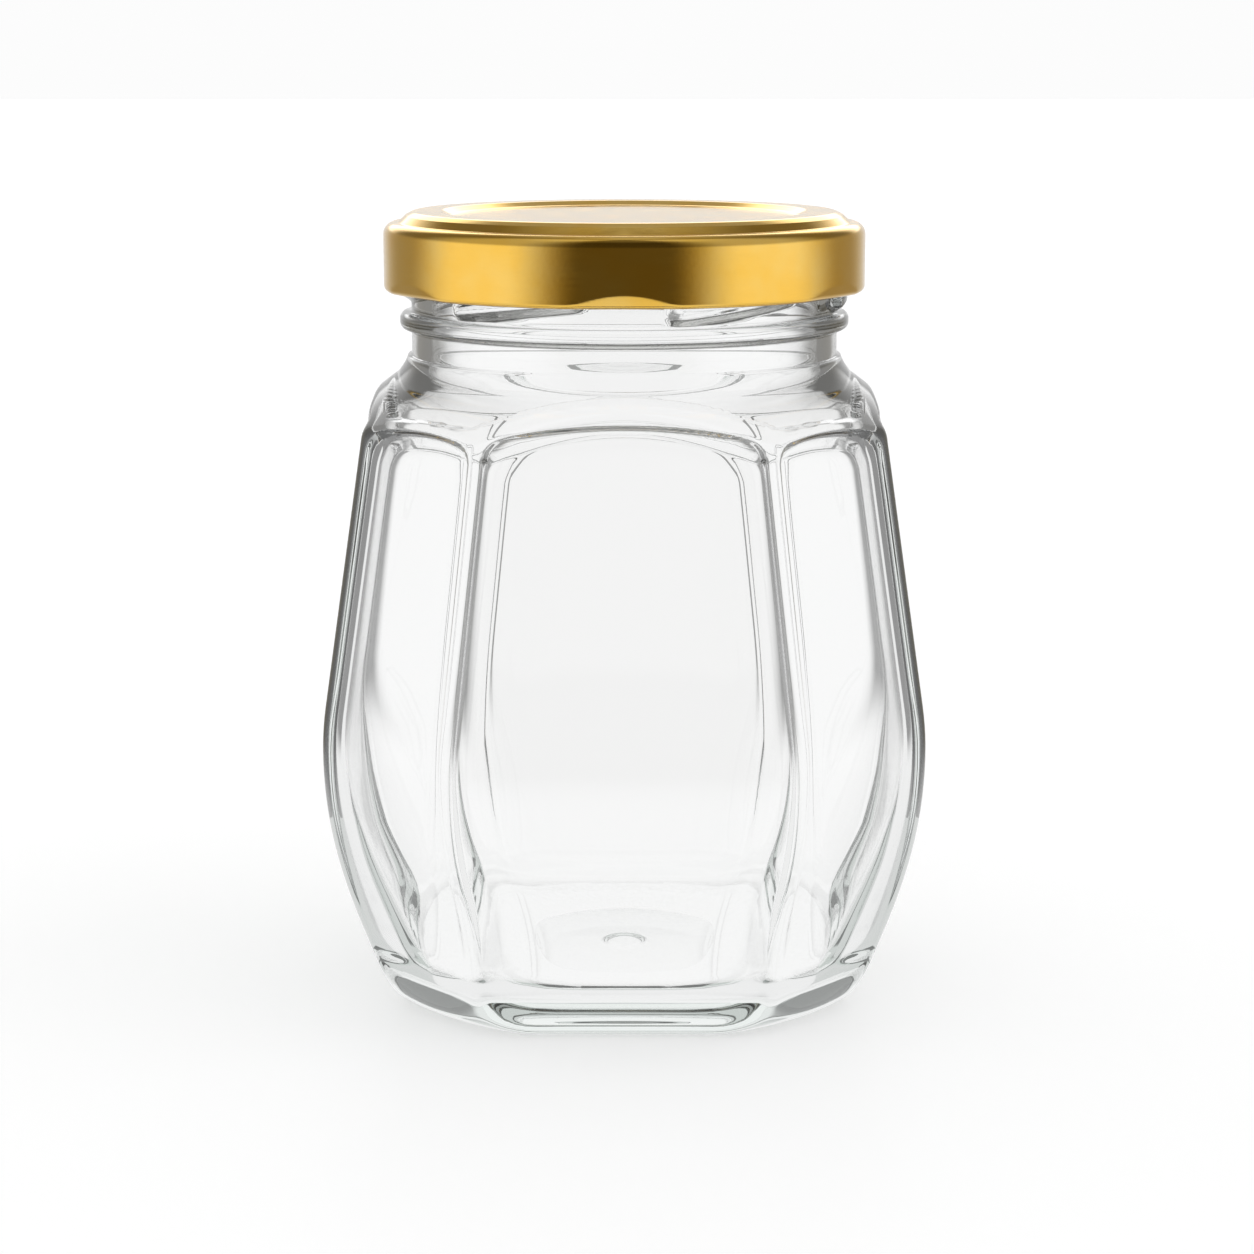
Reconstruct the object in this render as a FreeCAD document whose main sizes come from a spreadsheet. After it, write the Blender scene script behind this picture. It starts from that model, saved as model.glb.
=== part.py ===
import FreeCAD, Part

import math
import os

import Sketcher

# Octagonal glass jar with a twist-off metal lid, in millimetres.
# +Z is up, the origin is the middle of the foot, and a wide face looks along -Y.
# Four wide faces look along X and Y; four narrower faces stand between them at 45 degrees.

SIZES = [
    # bulged body: how far the faces stand from the axis at the bulge, and their side curves
    ("bulge_height", 37.6),
    ("taper_height", 43.8),
    ("wide_half", 40.85),
    ("wide_foot_height", 12.0),
    ("wide_foot_slope", 21.3),
    ("wide_top_slope", 8.03),
    ("narrow_half", 45.25),
    ("narrow_foot_height", 22.5),
    ("narrow_foot_slope", 17.2),
    ("narrow_top_slope", 9.91),
    ("rib_round", 3.0),
    # heel, shoulder and neck, all turned
    ("foot_ring_radius", 30.5),
    ("heel_round", 8.5),
    ("heel_sweep", 51.0),
    ("wide_foot_round", 4.0),
    ("neck_root_height", 88.3),
    ("shoulder_slope", 37.0),
    ("shoulder_round", 2.2),
    ("neck_radius", 29.5),
    ("seam_step", 0.25),
    ("bead_rise", 6.0),
    ("bead_width", 2.3),
    ("bead_proud", 1.6),
    ("bead_round", 0.9),
    ("collar_height", 0.5),
    ("neck_height", 20.55),
    ("rim_round", 1.1),
    # recessed panels between the ribs
    ("panel_recess", 0.5),
    ("panel_bottom", 7.9),
    ("wide_panel_margin", 5.3),
    ("narrow_panel_margin", 7.3),
    ("panel_corner_drop", 2.0),
    ("panel_corner_round", 3.0),
    ("rib_land", 1.5),
    # inside
    ("wall", 2.5),
    ("neck_wall", 2.8),
    ("inner_rib_trim", 0.9),
    ("floor_height", 4.5),
    ("floor_radius", 17.6),
    ("heel_curve", 27.0),
    # underside
    ("push_up_radius", 15.2),
    ("push_up_depth", 0.8),
    ("mark_radius", 2.7),
    ("mark_depth", 0.25),
    # thread ridges on the neck
    ("ridge_proud", 1.4),
    ("ridge_width", 1.6),
    ("ridge_drop", 11.85),
    ("ridge_lead", 22.0),
    ("ridge_sweep", 33.0),
    ("ridge_before_lug", 46.0),
    # lid, whose radii are measured from the neck
    ("lid_stand", 3.75),
    ("lid_height", 10.85),
    ("sheet_metal", 0.3),
    ("curl_radius", 0.8),
    ("skirt_round", 1.6),
    ("step_stand", 1.7),
    ("step_drop", 1.45),
    ("riser_run", 1.0),
    ("crest_setback", 0.4),
    ("crest_width", 3.6),
    ("crest_shoulder_drop", 0.4),
    ("centre_run", 1.2),
    ("centre_drop", 0.6),
    ("lug_arc", 20.0),
    ("lug_clearance", 0.9),
    ("lug_thickness", 1.4),
    ("lug_count", 6),
]

FULL_TURN = 360.0
REACH = 130.0
OVERSHOOT = 5.0

doc = FreeCAD.newDocument("octagonal_jar")
sheet = doc.addObject("Spreadsheet::Sheet", "Sizes")
for row, (alias, value) in enumerate(SIZES, start=1):
    sheet.set("A{}".format(row), alias)
    sheet.set("B{}".format(row), str(value))
    sheet.setAlias("B{}".format(row), alias)
doc.recompute()


class Size:
    """A worked-out size: its sheet expression and the value that this gives now."""

    def __init__(self, text, value):
        self.text = text
        self.value = float(value)

    def joined(self, sign, other, value):
        return Size("({} {} {})".format(self.text, sign, as_size(other).text), value)

    def __add__(self, other):
        return self.joined("+", other, self.value + as_size(other).value)

    def __sub__(self, other):
        return self.joined("-", other, self.value - as_size(other).value)

    def __mul__(self, other):
        return self.joined("*", other, self.value * as_size(other).value)

    def __truediv__(self, other):
        return self.joined("/", other, self.value / as_size(other).value)

    def __neg__(self):
        return Size("(-1 * {})".format(self.text), -self.value)


def as_size(number):
    return number if isinstance(number, Size) else Size(repr(number), number)


def size(alias):
    return Size("Sizes." + alias, sheet.get(alias))


def sine(angle):
    return Size("sin({})".format(angle.text), math.sin(math.radians(angle.value)))


def cosine(angle):
    return Size("cos({})".format(angle.text), math.cos(math.radians(angle.value)))


def tangent(angle):
    return Size("tan({})".format(angle.text), math.tan(math.radians(angle.value)))


def root(length):
    return Size("sqrt({})".format(length.text), math.sqrt(length.value))


def bind(thing, prop, amount):
    """Ties a property to the sheet, and gives it the present value at once."""
    if not prop.startswith("Constraints"):
        setattr(thing, prop, amount.value)
    thing.setExpression(prop, amount.text)


def new_body(name, turn=0.0):
    """A PartDesign body, turned about the jar's axis by some degrees."""
    body = doc.addObject("PartDesign::Body", name)
    body.Label = name
    body.Placement = FreeCAD.Placement(FreeCAD.Vector(0, 0, 0), FreeCAD.Rotation(FreeCAD.Vector(0, 0, 1), turn))
    return body


def origin_feature(body, role):
    return [item for item in body.Origin.OriginFeatures if item.Role == role][0]


def new_sketch(body, name, role):
    sketch = body.newObject("Sketcher::SketchObject", name)
    sketch.AttachmentSupport = [(origin_feature(body, role), "")]
    sketch.MapMode = "FlatFace"
    return sketch


def arc_between(start, end, radius, left):
    """Arc of a circle from start to end whose centre lies to the left or right of the chord."""
    chord = end - start
    middle = (start + end) * 0.5
    side = FreeCAD.Vector(-chord.y, chord.x, 0).normalize() * (1 if left else -1)
    reach = math.sqrt(max(radius ** 2 - (chord.Length / 2) ** 2, 0.0))
    centre = middle + side * reach
    crown = centre + (middle - centre).normalize() * radius if reach > 0 else middle - side * radius
    return Part.Arc(start, crown, end)


def outline(sketch, corners, arcs=None):
    """Closed outline through corners, each tied to the sheet.

    arcs maps the number of a corner to (radius, centre is left) of the arc that leaves it.
    """
    arcs = arcs or {}
    spots = [FreeCAD.Vector(x.value, y.value, 0) for x, y in corners]
    count = len(corners)
    ends = []
    for number, start in enumerate(spots):
        end = spots[(number + 1) % count]
        if number in arcs:
            radius, left = arcs[number]
            edge = sketch.addGeometry(arc_between(start, end, radius.value, left), False)
            drawn = sketch.Geometry[edge]
            first = 1 if drawn.StartPoint.distanceToPoint(start) < drawn.EndPoint.distanceToPoint(start) else 2
            ends.append((edge, first, 3 - first))
        else:
            edge = sketch.addGeometry(Part.LineSegment(start, end), False)
            ends.append((edge, 1, 2))
    for number, (edge, first, last) in enumerate(ends):
        following, next_first, next_last = ends[(number + 1) % count]
        sketch.addConstraint(Sketcher.Constraint("Coincident", edge, last, following, next_first))
        for kind, place in zip(("DistanceX", "DistanceY"), corners[number]):
            tie_point(sketch, kind, edge, first, place)
        if number in arcs:
            radius = arcs[number][0]
            index = sketch.addConstraint(Sketcher.Constraint("Radius", edge, radius.value))
            bind(sketch, "Constraints[{}]".format(index), radius)


def tie_point(sketch, kind, edge, point, place):
    """Ties one coordinate of a point of the sketch to the sheet, measured from the origin."""
    if abs(place.value) < 1e-9:
        other = {"DistanceX": -2, "DistanceY": -1}[kind]
        sketch.addConstraint(Sketcher.Constraint("PointOnObject", edge, point, other))
        return
    if place.value > 0:
        index = sketch.addConstraint(Sketcher.Constraint(kind, -1, 1, edge, point, place.value))
        bind(sketch, "Constraints[{}]".format(index), place)
    else:
        index = sketch.addConstraint(Sketcher.Constraint(kind, edge, point, -1, 1, -place.value))
        bind(sketch, "Constraints[{}]".format(index), -place)


ZERO = Size("0", 0.0)


# ---------------------------------------------------------------- faceted body

def face_curve(kind, inset):
    """Side curve of a face from foot to top, moved in by inset: corners and arcs, going up.

    A straight foot leads into an arc that stands upright at the bulge, and a second arc
    leads from there into the straight taper up to the shoulder.
    """
    half = size(kind + "_half") - inset
    foot_slope = size(kind + "_foot_slope")
    top_slope = size(kind + "_top_slope")
    foot_height = size(kind + "_foot_height")
    middle = size("bulge_height")
    taper = size("taper_height")
    lower = (middle - foot_height) / sine(foot_slope)
    upper = (taper - middle) / sine(top_slope)
    foot_half = half - lower * (as_size(1) - cosine(foot_slope))
    taper_half = half - upper * (as_size(1) - cosine(top_slope))
    top = size("neck_root_height") + OVERSHOOT
    corners = [
        (foot_half - (foot_height + OVERSHOOT) * tangent(foot_slope), as_size(-OVERSHOOT)),
        (foot_half, foot_height),
        (half, middle),
        (taper_half, taper),
        (taper_half - (top - taper) * tangent(top_slope), top),
    ]
    return corners, {1: lower, 2: upper}


def face_slab(name, kind, inset, turn):
    """Slab between two opposite faces: the face curve and its mirror image, drawn out sideways."""
    body = new_body(name, turn)
    sketch = new_sketch(body, name + "_sides", "XZ_Plane")
    corners, curves = face_curve(kind, inset)
    mirrored = [(-x, y) for x, y in reversed(corners)]
    last = len(corners) + len(mirrored) - 1
    arcs = {number: (radius, True) for number, radius in curves.items()}
    arcs.update({last - 1 - number: (radius, True) for number, radius in curves.items()})
    outline(sketch, corners + mirrored, arcs)
    pad = body.newObject("PartDesign::Pad", name + "_pad")
    pad.Profile = sketch
    pad.Midplane = True
    pad.Length = 2 * REACH
    return body


def octagon(name, inset):
    """The four slabs that bound the eight faces, moved in by inset."""
    return [
        face_slab("{}_{}_{}".format(name, kind, turn), kind, inset, turn)
        for kind, turn in (("wide", 0), ("wide", 90), ("narrow", 45), ("narrow", 135))
    ]


def common(name, shapes):
    result = doc.addObject("Part::MultiCommon", name)
    result.Label = name
    result.Shapes = shapes
    result.Refine = True
    return result


def turned(name, corners, arcs=None):
    """Body turned about the Z axis from an outline of (radius, height) corners."""
    body = new_body(name)
    turn_outline(body, name, corners, arcs=arcs)
    return body


def turn_outline(body, name, corners, kind="PartDesign::Revolution", arcs=None):
    """Adds a full Revolution, or cuts a full Groove, from an outline of (radius, height) corners."""
    sketch = new_sketch(body, name + "_profile", "XZ_Plane")
    outline(sketch, corners, arcs)
    feature = body.newObject(kind, name + "_turn")
    feature.Profile = sketch
    feature.ReferenceAxis = (sketch, ["V_Axis"])
    feature.Angle = FULL_TURN
    return feature


def corner_reach(inset):
    """Radius that lies safely outside the eight corners of the body at the bulge."""
    return size("wide_half") + size("narrow_half") - inset * 2


def flats(centre, radius, start, sweep, count):
    """Corners along a small rounding that is worked as a few flats, from one angle on through a sweep."""
    angles = [as_size(start) + as_size(sweep) * (number / count) for number in range(count + 1)]
    return [(centre[0] + radius * cosine(angle), centre[1] + radius * sine(angle)) for angle in angles]


def run_out(corners, reach):
    """Corners with their last run carried on outwards, as it slopes, to a given reach from the axis."""
    (near, low), (far, high) = corners[-2:]
    return corners + [(reach, high + (reach - far) * ((high - low) / (far - near)))]


def body_blank():
    """Turned blank of the body: a shoulder cone over a straight side that starts below the foot."""
    collar = size("neck_radius") + size("seam_step")
    wide = corner_reach(ZERO)
    root_height = size("neck_root_height")
    sunk = as_size(-OVERSHOOT / 2)
    corners = [
        (ZERO, sunk),
        (wide, sunk),
        (wide, root_height - (wide - collar) * tangent(size("shoulder_slope"))),
        (collar, root_height),
        (ZERO, root_height),
    ]
    return turned("body_blank", corners)


def heel_blank():
    """Turned blank with a rounded heel, which stands on the floor inside its foot ring."""
    heel = size("heel_round")
    top = size("neck_root_height") + OVERSHOOT
    reach = corner_reach(ZERO)
    corners = flats((size("foot_ring_radius"), heel), heel, -90, size("heel_sweep"), 3)
    return turned("heel_blank", [(ZERO, ZERO)] + run_out(corners, reach) + [(reach, top), (ZERO, top)])


def foot_slab(turn):
    """Slab that rounds the feet of two opposite wide faces into the floor."""
    name = "foot_slab_{}".format(turn)
    slope = size("wide_foot_slope")
    foot_half, foot_height = face_curve("wide", ZERO)[0][1]
    turn_in = size("wide_foot_round")
    middle = foot_half - foot_height * tangent(slope) - turn_in / tangent((as_size(90) + slope) / 2)
    reach = corner_reach(ZERO)
    corners = run_out(flats((middle, turn_in), turn_in, -90, as_size(90) - slope, 3), reach)
    corners += [(reach, size("neck_root_height") + OVERSHOOT)]
    body = new_body(name, turn)
    sketch = new_sketch(body, name + "_sides", "XZ_Plane")
    outline(sketch, corners + [(-x, y) for x, y in reversed(corners)])
    pad = body.newObject("PartDesign::Pad", name + "_pad")
    pad.Profile = sketch
    pad.Midplane = True
    pad.Length = 2 * REACH
    return body


def neck_blank():
    """Turned neck: mould seam collar, transfer bead and rounded rim."""
    neck = size("neck_radius")
    collar = neck + size("seam_step")
    seam = size("neck_root_height") + size("collar_height")
    bead_round = size("bead_round")
    bead_middle = neck + size("bead_proud") - bead_round
    bead_height = size("neck_root_height") + size("bead_rise")
    bead_low = bead_height - size("bead_width") / 2
    bead_high = bead_height + size("bead_width") / 2
    rim = rim_height()
    rim_round = size("rim_round")
    sunk = size("neck_root_height") - OVERSHOOT / 2
    corners = [(ZERO, sunk), (collar, sunk), (collar, seam), (neck, seam), (neck, bead_low)]
    corners += flats((bead_middle, bead_low + bead_round), bead_round, -90, 90, 2)
    corners += flats((bead_middle, bead_high - bead_round), bead_round, 0, 90, 2)
    corners += [(neck, bead_high)]
    corners += flats((neck - rim_round, rim - rim_round), rim_round, 0, 90, 2)
    corners += [(ZERO, rim)]
    return turned("neck_blank", corners)


def rim_height():
    """Height of the neck's rim, on which the lid sits."""
    return size("neck_root_height") + size("neck_height")


def cavity_root():
    """Bore radius, and the height where the cavity's shoulder meets the bore."""
    slope = size("shoulder_slope")
    bore = size("neck_radius") - size("neck_wall")
    collar = size("neck_radius") + size("seam_step")
    height = size("neck_root_height") + (collar - bore) * tangent(slope) - size("wall") / cosine(slope)
    return bore, height


def cavity_blank():
    """Turned blank of the cavity: round floor, heel curve and shoulder."""
    floor = size("floor_height")
    flat = size("floor_radius")
    curve = size("heel_curve")
    bore, root_height = cavity_root()
    corners = [(ZERO, floor)] + flats((flat, floor + curve), curve, -90, 90, 6)
    corners += [
        (flat + curve, root_height - (flat + curve - bore) * tangent(size("shoulder_slope"))),
        (bore, root_height),
        (ZERO, root_height),
    ]
    return turned("cavity_blank", corners)


def bore_blank():
    """Turned bore of the neck, open at the top."""
    bore, root_height = cavity_root()
    sunk = root_height - OVERSHOOT
    top = rim_height() + OVERSHOOT
    return turned("bore_blank", [(ZERO, sunk), (bore, sunk), (bore, top), (ZERO, top)])


def inner_liner():
    """Turned solid that trims the corners of the cavity, so that the glass is thickest at the ribs."""
    corners, arcs = face_curve("narrow", size("wall") - size("inner_rib_trim"))
    top = corners[-1][1]
    bottom = corners[0][1]
    arcs = {number + 1: (radius, True) for number, radius in arcs.items()}
    return turned("inner_liner", [(ZERO, bottom)] + corners + [(ZERO, top)], arcs)


def middle_of(edge):
    """Point and direction half way along an edge."""
    half_way = (edge.FirstParameter + edge.LastParameter) / 2
    return edge.valueAt(half_way), edge.tangentAt(half_way)


def is_rib(edge):
    """True for an edge between two faces of the octagon, which climbs on its way."""
    point, direction = middle_of(edge)
    return math.hypot(point.x, point.y) > size("neck_radius").value + OVERSHOOT / 2 and abs(direction.z) > 0.7


def is_shoulder_edge(edge):
    """True for an edge between a face of the octagon and the shoulder, which runs round the axis."""
    point, direction = middle_of(edge)
    radial = FreeCAD.Vector(point.x, point.y, 0).normalize()
    high = size("neck_root_height").value / 1.5 < point.z < size("neck_root_height").value - 1.0
    outside = math.hypot(point.x, point.y) > size("neck_radius").value + size("seam_step").value + 1.0
    return high and outside and abs(direction.dot(radial)) < 0.5 and abs(direction.z) < 0.75


def rounded(name, base, wanted, radius):
    """Fillet of the wanted edges of an object."""
    doc.recompute()
    result = doc.addObject("Part::Fillet", name)
    result.Base = base
    result.Edges = [
        (number, radius.value, radius.value)
        for number, edge in enumerate(base.Shape.Edges, start=1)
        if wanted(edge)
    ]
    return result


def cut(name, base, tool):
    result = doc.addObject("Part::Cut", name)
    result.Label = name
    result.Base = base
    result.Tool = tool
    result.Refine = True
    return result


# ---------------------------------------------------------------- recessed panels

def half_at(kind, height):
    """Distance of a face from the axis at a height below the lower arc or above the upper one."""
    (_, _), (low_half, low_height), _, (high_half, high_height), _ = face_curve(kind, ZERO)[0]
    if height.value < low_height.value:
        return low_half - (low_height - height) * tangent(size(kind + "_foot_slope"))
    return high_half - (height - high_height) * tangent(size(kind + "_top_slope"))


def panel_half(kind, height=None):
    """Half width of a panel at a height, or at the bulge: the face's half width less the rib."""
    other = {"wide": "narrow", "narrow": "wide"}[kind]
    own_half = size(kind + "_half") if height is None else half_at(kind, height)
    other_half = size(other + "_half") if height is None else half_at(other, height)
    return other_half * root(as_size(2)) - own_half - size("rib_land")


def panel_prism(kind, turn):
    """Upright prism over one panel: straight sides, rounded top corners and an arched top."""
    name = "{}_panel_{}".format(kind, turn)
    body = new_body(name, turn)
    sketch = new_sketch(body, name + "_outline", "XZ_Plane")
    low = size("panel_bottom")
    crown = size("neck_root_height") - size(kind + "_panel_margin")
    drop = size("panel_corner_drop")
    top_half = panel_half(kind, crown - drop)
    arch = (top_half * top_half + drop * drop) / (drop * 2)
    side = [
        (panel_half(kind, low), low),
        (panel_half(kind), size("bulge_height")),
        (top_half, crown - drop),
    ]
    outline(sketch, side + [(-x, y) for x, y in reversed(side)], {2: (arch, True)})
    pad = body.newObject("PartDesign::Pad", name + "_pad")
    pad.Profile = sketch
    pad.Length = REACH
    doc.recompute()
    corners = [
        "Edge{}".format(number)
        for number, edge in enumerate(pad.Shape.Edges, start=1)
        if abs(middle_of(edge)[1].y) > 0.9 and middle_of(edge)[0].z > size("neck_root_height").value / 2
    ]
    corner = body.newObject("PartDesign::Fillet", name + "_corners")
    corner.Base = (pad, corners)
    bind(corner, "Radius", size("panel_corner_round"))
    return body


def fused(name, shapes):
    result = doc.addObject("Part::MultiFuse", name)
    result.Label = name
    result.Shapes = shapes
    result.Refine = True
    return result


# ---------------------------------------------------------------- underside and neck

def push_up():
    """Tool that hollows the underside: a shallow cone with a small round mark at its middle."""
    rise = size("push_up_depth")
    mark = size("mark_radius")
    corners = [
        (ZERO, as_size(-OVERSHOOT)),
        (size("push_up_radius"), as_size(-OVERSHOOT)),
        (size("push_up_radius"), ZERO),
        (mark, rise),
        (mark, rise + size("mark_depth")),
        (ZERO, rise + size("mark_depth")),
    ]
    return turned("push_up", corners)


def thread_ridge(number):
    """One sloping ridge of the neck thread, rising counterclockwise seen from above."""
    lug_pitch = FULL_TURN / size("lug_count").value
    front = -90.0
    turn = front + number * lug_pitch - size("ridge_before_lug").value
    name = "thread_ridge_{}".format(number)
    body = new_body(name, turn)
    sketch = new_sketch(body, name + "_section", "XZ_Plane")
    inner = size("neck_radius") - size("neck_wall") / 2
    outer_edge = size("neck_radius") + size("ridge_proud")
    start_height = rim_height() - size("ridge_drop")
    low = start_height - size("ridge_width") / 2
    high = start_height + size("ridge_width") / 2
    nose = size("ridge_width") / 4
    corners = [
        (inner, low),
        (size("neck_radius"), low),
        (outer_edge, low + nose),
        (outer_edge, high - nose),
        (size("neck_radius"), high),
        (inner, high),
    ]
    outline(sketch, corners)
    helix = body.newObject("PartDesign::AdditiveHelix", name + "_run")
    helix.Profile = sketch
    helix.ReferenceAxis = (sketch, ["V_Axis"])
    helix.Mode = "pitch-height-angle"
    bind(helix, "Pitch", size("ridge_lead"))
    bind(helix, "Height", size("ridge_lead") * size("ridge_sweep") / FULL_TURN)
    return body


# ---------------------------------------------------------------- lid

def lid_skin(inset, low):
    """Outline of the lid's outside, or of its inside when moved in by the metal's thickness."""
    crest = rim_height() + size("sheet_metal") - inset
    step = crest - size("step_drop")
    neck = size("neck_radius")
    lid_radius = neck + size("lid_stand")
    skirt_round = size("skirt_round")
    skirt_middle = (lid_radius - skirt_round, step + inset - skirt_round)
    step_radius = neck + size("step_stand") - inset
    crest_outer = neck - size("crest_setback")
    crest_inner = crest_outer - size("crest_width")
    corners = [(ZERO, low), (lid_radius - inset, low)]
    corners += flats(skirt_middle, skirt_round - inset, 0, 90, 2)
    corners += [
        (step_radius, step),
        (step_radius - size("riser_run"), crest - size("crest_shoulder_drop")),
        (crest_outer - inset, crest),
        (crest_inner + inset, crest),
        (crest_inner - size("centre_run") + inset, crest - size("centre_drop")),
        (ZERO, crest - size("centre_drop")),
    ]
    return corners


def twist_lid():
    """Thin metal lid: stepped top, skirt, rolled curl, and lugs that reach in between the threads."""
    name = "twist_lid"
    body = new_body(name, -90.0)
    curl = size("curl_radius")
    low = rim_height() + size("sheet_metal") - size("lid_height")
    curl_centre = size("neck_radius") + size("lid_stand") - curl
    lug_radius = size("neck_radius") + size("lug_clearance")
    turn_outline(body, name + "_outside", lid_skin(ZERO, low + curl))
    turn_outline(body, name + "_inside", lid_skin(size("sheet_metal"), low - OVERSHOOT), "PartDesign::Groove")
    turn_outline(body, name + "_curl", flats((curl_centre, low + curl), curl, -90, 315, 7))
    lug_sketch = new_sketch(body, name + "_lug_section", "XZ_Plane")
    base = low + (curl * 2 - size("lug_thickness")) / 2
    outline(lug_sketch, [
        (lug_radius, base),
        (curl_centre, base),
        (curl_centre, base + size("lug_thickness")),
        (lug_radius, base + size("lug_thickness")),
    ])
    lug = body.newObject("PartDesign::Revolution", name + "_lug")
    lug.Profile = lug_sketch
    lug.ReferenceAxis = (lug_sketch, ["V_Axis"])
    lug.Midplane = True
    bind(lug, "Angle", size("lug_arc"))
    lugs = body.newObject("PartDesign::PolarPattern", name + "_lugs")
    lugs.Originals = [lug]
    lugs.Axis = (lug_sketch, ["V_Axis"])
    lugs.Angle = FULL_TURN
    lugs.setExpression("Occurrences", size("lug_count").text)
    body.Tip = lugs
    return body


# ---------------------------------------------------------------- assembly

faceted = common("faceted_outside", octagon("outer", ZERO) + [body_blank()])
ribbed = rounded("ribs", faceted, is_rib, size("rib_round"))
shouldered = rounded("shoulder", ribbed, is_shoulder_edge, size("shoulder_round"))
heeled = common("heeled_outside", [shouldered, heel_blank(), foot_slab(0), foot_slab(90)])
core = common("recessed_core", octagon("core", size("panel_recess")))
prisms = fused("panel_prisms", [
    panel_prism(kind, turn + quarter * 90)
    for kind, turn in (("wide", 0), ("narrow", 45))
    for quarter in range(4)
])
panelled = cut("panelled_outside", heeled, cut("panel_waste", prisms, core))
necked = fused("necked_outside", [panelled, neck_blank()])
cavity = common("cavity", octagon("inner", size("wall")) + [inner_liner(), cavity_blank()])
hollow = cut("hollow_jar", necked, fused("cavity_and_bore", [cavity, bore_blank()]))
footed = cut("footed_jar", hollow, push_up())
ridges = [thread_ridge(number) for number in range(int(size("lug_count").value))]
glass_jar = fused("glass_jar", [footed] + ridges)
lid = twist_lid()
doc.recompute()

for item in doc.Objects:
    if "Invalid" in item.State or "Error" in item.State:
        raise RuntimeError("{} failed: {}".format(item.Name, item.State))

os.makedirs("parts", exist_ok=True)
for sub_part in (glass_jar, lid):
    shape = sub_part.Shape
    if shape.isNull() or not shape.isValid() or not shape.Solids:
        raise RuntimeError("{} has no valid solid".format(sub_part.Label))
    shape.exportStep("parts/{}.step".format(sub_part.Label))
    print("{}: {} solid(s), {:.1f} mm3".format(sub_part.Label, len(shape.Solids), shape.Volume))
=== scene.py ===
"""Octagonal glass jar with a gold twist-off lid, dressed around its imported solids.

Sizes in the classes are in millimetres and degrees; meshes are built in metres.
"""
import logging
import math
from collections.abc import Callable
from dataclasses import dataclass, field
from enum import Enum
from functools import partialmethod

import bmesh
import bpy
import numpy as np
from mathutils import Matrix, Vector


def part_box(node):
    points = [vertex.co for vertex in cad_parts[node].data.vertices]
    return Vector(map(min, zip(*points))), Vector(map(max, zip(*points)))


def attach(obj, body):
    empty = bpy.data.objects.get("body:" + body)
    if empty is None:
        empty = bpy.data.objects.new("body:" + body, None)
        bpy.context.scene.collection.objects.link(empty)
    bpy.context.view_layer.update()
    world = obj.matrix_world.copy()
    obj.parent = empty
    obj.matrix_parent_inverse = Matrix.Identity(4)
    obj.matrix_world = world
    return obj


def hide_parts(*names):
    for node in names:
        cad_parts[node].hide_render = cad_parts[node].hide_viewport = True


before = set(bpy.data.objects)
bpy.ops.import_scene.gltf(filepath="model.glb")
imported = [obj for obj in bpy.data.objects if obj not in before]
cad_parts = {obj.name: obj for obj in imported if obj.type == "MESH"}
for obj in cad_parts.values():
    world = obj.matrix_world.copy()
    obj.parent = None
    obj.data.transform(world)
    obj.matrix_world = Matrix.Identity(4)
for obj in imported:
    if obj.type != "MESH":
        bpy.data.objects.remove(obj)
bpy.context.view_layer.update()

LOG = logging.getLogger("octagonal_jar")
MM = 0.001
BODY = "root"
ROOT_TWO = math.sqrt(2.0)
FULL_TURN = 2.0 * math.pi
WHITE = (1.0, 1.0, 1.0, 1.0)
UP, DOWN = (0.0, 1.0), (1.0, 0.0)
MOST_BOUNCES = 2.5
SEAM = 1e-6
CAST_REACH = 60.0
CAST_HALVINGS = 34
COLUMN_TOP = 84.0
ROUND_FROM = 84.6
OUTER_REACH = 35.0
INNER_REACH = 32.0

Span = tuple[float, float]
Colour = tuple[float, float, float]
Socket = bpy.types.NodeSocket
Outputs = bpy.types.NodeOutputs
Array = np.ndarray
Field = Callable[[Array], Array]


# ---- small maths

def smooth_step(amount: Array) -> Array:
    """Eases a ramp from 0 to 1, level at both ends."""
    held = np.clip(amount, 0.0, 1.0)
    return held * held * (3.0 - 2.0 * held)


def smooth_max(first: Array, second: Array, blend: float) -> Array:
    """Larger of two distances, rounded where they are within blend of each other.

    Args:
        first: distances outside one surface.
        second: distances outside the other.
        blend: how far apart the two may be and still be rounded.

    Returns:
        The rounded larger distance.
    """
    share = np.maximum(blend - np.abs(first - second), 0.0) / blend
    return np.maximum(first, second) + share * share * blend * 0.25


def smooth_min(first: Array, second: Array, blend: float) -> Array:
    """Smaller of two distances, rounded as in smooth_max."""
    return -smooth_max(-first, -second, blend)


def steps(*spans: tuple[float, float, int]) -> Array:
    """Values through spans of (start, end, count), each without its end, then the last end."""
    runs = [np.linspace(start, end, count, endpoint=False) for start, end, count in spans]
    return np.concatenate(runs + [np.array([spans[-1][1]])])


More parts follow.
